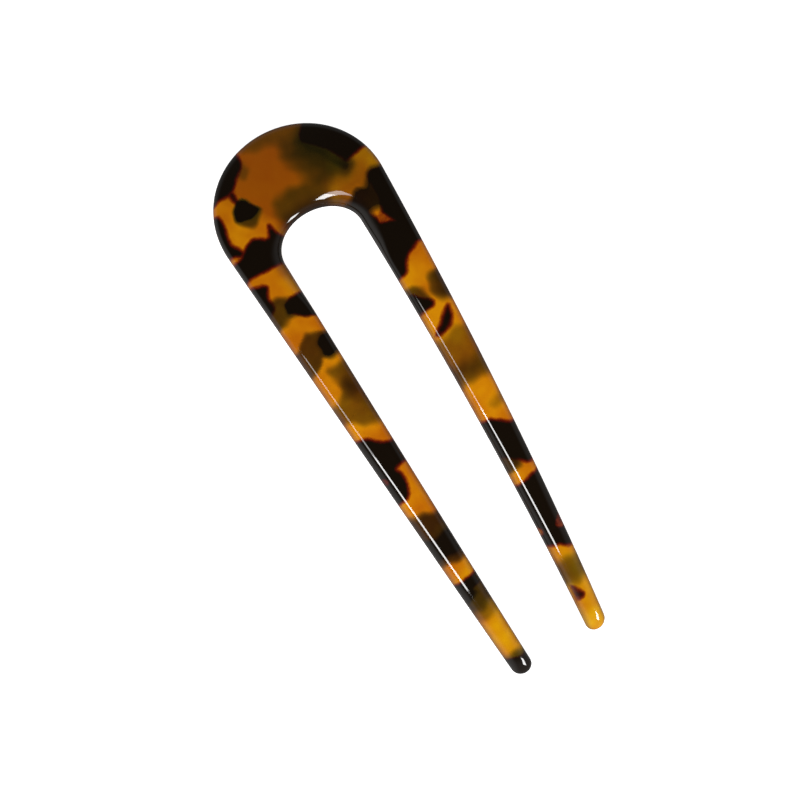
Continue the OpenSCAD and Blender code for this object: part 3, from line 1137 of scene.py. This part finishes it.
    def face_outwards(self, mesh: bpy.types.Mesh) -> None:
        """Turns the mesh's faces round if they point inwards.

        Args:
            mesh: The pin's closed mesh.
        """
        mesh.calc_loop_triangles()
        corners = np.array([[mesh.vertices[k].co[:] for k in face.vertices] for face in mesh.loop_triangles])
        volume = np.einsum("ij,ij->i", corners[:, 0], np.cross(corners[:, 1], corners[:, 2])).sum()
        if volume < 0:
            mesh.flip_normals()

    def lay_pattern(self, mesh: bpy.types.Mesh) -> None:
        """Stores what shows of the sheet's lumps at each point of the mesh.

        Args:
            mesh: The pin's mesh, with its places on the blank.
        """
        blank = np.empty(len(mesh.vertices) * 3)
        mesh.attributes["blank"].data.foreach_get("vector", blank)
        ink, dusk = self.sheet.lay(blank.reshape(-1, 3), self.sizes.sheet_thickness)
        for name, values in (("ink", ink), ("dusk", dusk)):
            attribute = mesh.attributes.new(name, "FLOAT", "POINT")
            attribute.data.foreach_set("value", values)

    def build(self) -> bpy.types.Object:
        """Makes the finished piece.

        Returns:
            The pin, which stands for its solid and rides on the object's one body.
        """
        pin = self.guide()
        self.sweep(pin, self.finish.build())
        for name in ("ring_arc", "ring_corner", "inner_edge", "outer_edge", "section_size", "crown_size"):
            pin.data.attributes.remove(pin.data.attributes[name])
        self.rest(pin.data)
        self.face_outwards(pin.data)
        self.lay_pattern(pin.data)
        pin.data.update()
        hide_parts("hair_pin")
        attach(pin, "root")
        return pin


@dataclass(frozen=True)
class SoftBox:
    """One soft studio light, aimed at the middle of the pin.

    Attributes:
        name: What it does.
        direction: Where it stands, as seen from the pin.
        distance: How far away it stands, in metres.
        width: Its width in metres.
        height: Its height in metres.
        power: Its power in watts.
    """

    name: str
    direction: tuple[float, float, float]
    distance: float
    width: float
    height: float
    power: float

    def build(self) -> bpy.types.Object:
        """Makes the light.

        Returns:
            The light, its height as nearly along the pin as its place allows.
        """
        light = bpy.data.lights.new(self.name, "AREA")
        light.shape = "RECTANGLE"
        light.size = self.width
        light.size_y = self.height
        light.energy = self.power
        box = bpy.data.objects.new(self.name, light)
        towards = Vector(self.direction).normalized()
        upward = (Vector((0.0, 1.0, 0.0)) - towards.y * towards).normalized()
        turn = Matrix((upward.cross(towards), upward, towards)).transposed().to_4x4()
        box.matrix_world = Matrix.Translation(towards * self.distance) @ turn
        bpy.context.scene.collection.objects.link(box)
        return box


@dataclass(frozen=True)
class Studio:
    """A pale floor, soft boxes and dim white surroundings.

    Attributes:
        lights: The soft boxes.
        floor_size: Side of the floor in metres.
        floor_colour: Colour of the floor's opal acrylic.
        floor_roughness: How matt the floor is.
        floor_sheen: Strength of its reflections, where 0.5 is usual.
        floor_glow: How brightly the floor is lit from under it, as on a light table.
        white: Colour of the surroundings and of the floor's glow.
        ceiling_rise: Upward parts of a direction between which the walls turn to the ceiling.
        ceiling_light: Brightness of the walls and of the ceiling.
        wall_turn: Parts along X between which the white wall on the side of -X ends.
        wall_light: How much of that brightness the white wall and the rest give back.
    """

    lights: tuple[SoftBox, ...] = (
        SoftBox("key", (-0.364, -0.41, 1.0), 0.8, 0.17, 0.37, 4.5),
        SoftBox("key_fade", (-0.364, 0.02, 1.0), 0.8, 0.17, 0.3, 1.3),
        SoftBox("low_front", (0.42, -0.9, 0.38), 0.8, 0.18, 0.28, 3.4),
    )
    floor_size: float = 3.0
    floor_colour: str = "#CBCBCB"
    floor_roughness: float = 0.9
    floor_sheen: float = 0.1
    floor_glow: float = 0.95
    white: str = "#FFFFFF"
    ceiling_rise: tuple[float, float] = (0.35, 0.8)
    ceiling_light: tuple[float, float] = (0.3, 0.03)
    wall_turn: tuple[float, float] = (-0.9, -0.3)
    wall_light: tuple[float, float] = (2.2, 0.9)

    def build_floor(self) -> bpy.types.Object:
        """Makes the floor, which isn't part of the pin.

        Returns:
            The floor, which the polish doesn't mirror.
        """
        half = self.floor_size / 2
        mesh = bpy.data.meshes.new("floor")
        corners = [(-half, -half, 0), (half, -half, 0), (half, half, 0), (-half, half, 0)]
        mesh.from_pydata(corners, [], [(0, 1, 2, 3)])
        material = bpy.data.materials.new("matt_opal_acrylic")
        material.use_nodes = True
        tree = material.node_tree
        tree.nodes.clear()
        acrylic = add_node(tree, "ShaderNodeBsdfPrincipled", None, {
            "Base Color": to_linear(self.floor_colour), "Roughness": self.floor_roughness,
            "Specular IOR Level": self.floor_sheen, "Emission Color": to_linear(self.white),
            "Emission Strength": self.floor_glow})
        add_node(tree, "ShaderNodeOutputMaterial", None, {"Surface": acrylic})
        mesh.materials.append(material)
        floor = bpy.data.objects.new("floor", mesh)
        floor.visible_glossy = False
        bpy.context.scene.collection.objects.link(floor)
        return floor

    def build_surroundings(self) -> bpy.types.World:
        """Makes the surroundings, a dim grey room with a white wall on the side of -X.

        Returns:
            The world, set as the scene's own.
        """
        world = bpy.data.worlds.new("studio")
        world.use_nodes = True
        tree = world.node_tree
        tree.nodes.clear()
        towards = add_node(tree, "ShaderNodeTexCoord").outputs["Generated"]
        direction = add_node(tree, "ShaderNodeSeparateXYZ", None, {0: towards}).outputs
        overhead, beside = (
            add_node(tree, "ShaderNodeMapRange", {"interpolation_type": "SMOOTHSTEP"}, {
                "Value": direction[axis], "From Min": reach[0], "From Max": reach[1],
                "To Min": light[0], "To Max": light[1]})
            for axis, reach, light in (
                ("Z", self.ceiling_rise, self.ceiling_light),
                ("X", self.wall_turn, self.wall_light),
            )
        )
        strength = add_node(tree, "ShaderNodeMath", {"operation": "MULTIPLY"}, {0: overhead, 1: beside})
        walls = add_node(tree, "ShaderNodeBackground", None, {
            "Color": to_linear(self.white), "Strength": strength})
        add_node(tree, "ShaderNodeOutputWorld", None, {"Surface": walls})
        bpy.context.scene.world = world
        return world

    def build(self) -> None:
        """Makes the floor, then the surroundings, then the soft boxes one by one."""
        self.build_floor()
        self.build_surroundings()
        for light in self.lights:
            light.build()


@dataclass(frozen=True)
class StudioCamera:
    """The camera, almost straight above the pin.

    Attributes:
        aim: Place on the floor at the middle of the picture, in millimetres.
        lean_along: Lean of the camera towards the head, in degrees.
        lean_across: Lean of the camera towards -X, in degrees.
        turn: Angle of the pin's length in the picture, in degrees.
        distance: Distance from the aim, in millimetres.
        lens: Focal length in millimetres.
        sensor: Width of the sensor in millimetres.
        clip: Nearest and furthest distance that it sees, in metres.
    """

    aim: tuple[float, float, float] = (-2.504, 0.028, 0.0)
    lean_along: float = 0.378
    lean_across: float = 4.039
    turn: float = 59.288
    distance: float = 450.4
    lens: float = 95.06
    sensor: float = 36.0
    clip: tuple[float, float] = (0.01, 20.0)

    def build(self) -> bpy.types.Object:
        """Makes the camera and sets it as the scene's own.

        Returns:
            The camera.
        """
        along, across, turn = map(math.radians, (self.lean_along, self.lean_across, self.turn))
        back = Vector((-math.sin(across), math.sin(along) * math.cos(across),
                       math.cos(along) * math.cos(across)))
        tipwards = Vector((0.0, -math.cos(along), math.sin(along)))
        leftwards = tipwards.cross(back)
        right = math.cos(turn) * tipwards - math.sin(turn) * leftwards
        upward = back.cross(right)
        aim = Vector(self.aim) * MM
        camera_data = bpy.data.cameras.new("studio_camera")
        camera_data.lens = self.lens
        camera_data.sensor_width = self.sensor
        camera_data.clip_start, camera_data.clip_end = self.clip
        camera = bpy.data.objects.new("studio_camera", camera_data)
        turn_matrix = Matrix((right, upward, back)).transposed().to_4x4()
        camera.matrix_world = Matrix.Translation(aim + self.distance * MM * back) @ turn_matrix
        bpy.context.scene.collection.objects.link(camera)
        bpy.context.scene.camera = camera
        return camera


def report_piece(build: Callable[[], bpy.types.Object]) -> None:
    """Builds one piece and reports its name and its number of faces.

    Args:
        build: The method that makes it.
    """
    piece = build()
    LOG.info("%s: %d faces", piece.name, len(piece.data.polygons))


def main() -> None:
    """Builds the pin, then the studio and the camera.

    The picture shows colours as they are, without a film's curve.
    """
    logging.basicConfig(level=logging.INFO, format="%(name)s: %(message)s")
    bpy.context.scene.view_settings.view_transform = "Standard"
    body = PinBody(PinSizes(), TortoiseshellSheet(), PolishedAcetate())
    report_piece(body.build)
    Studio().build()
    StudioCamera().build()


if __name__ == "__main__":
    main()
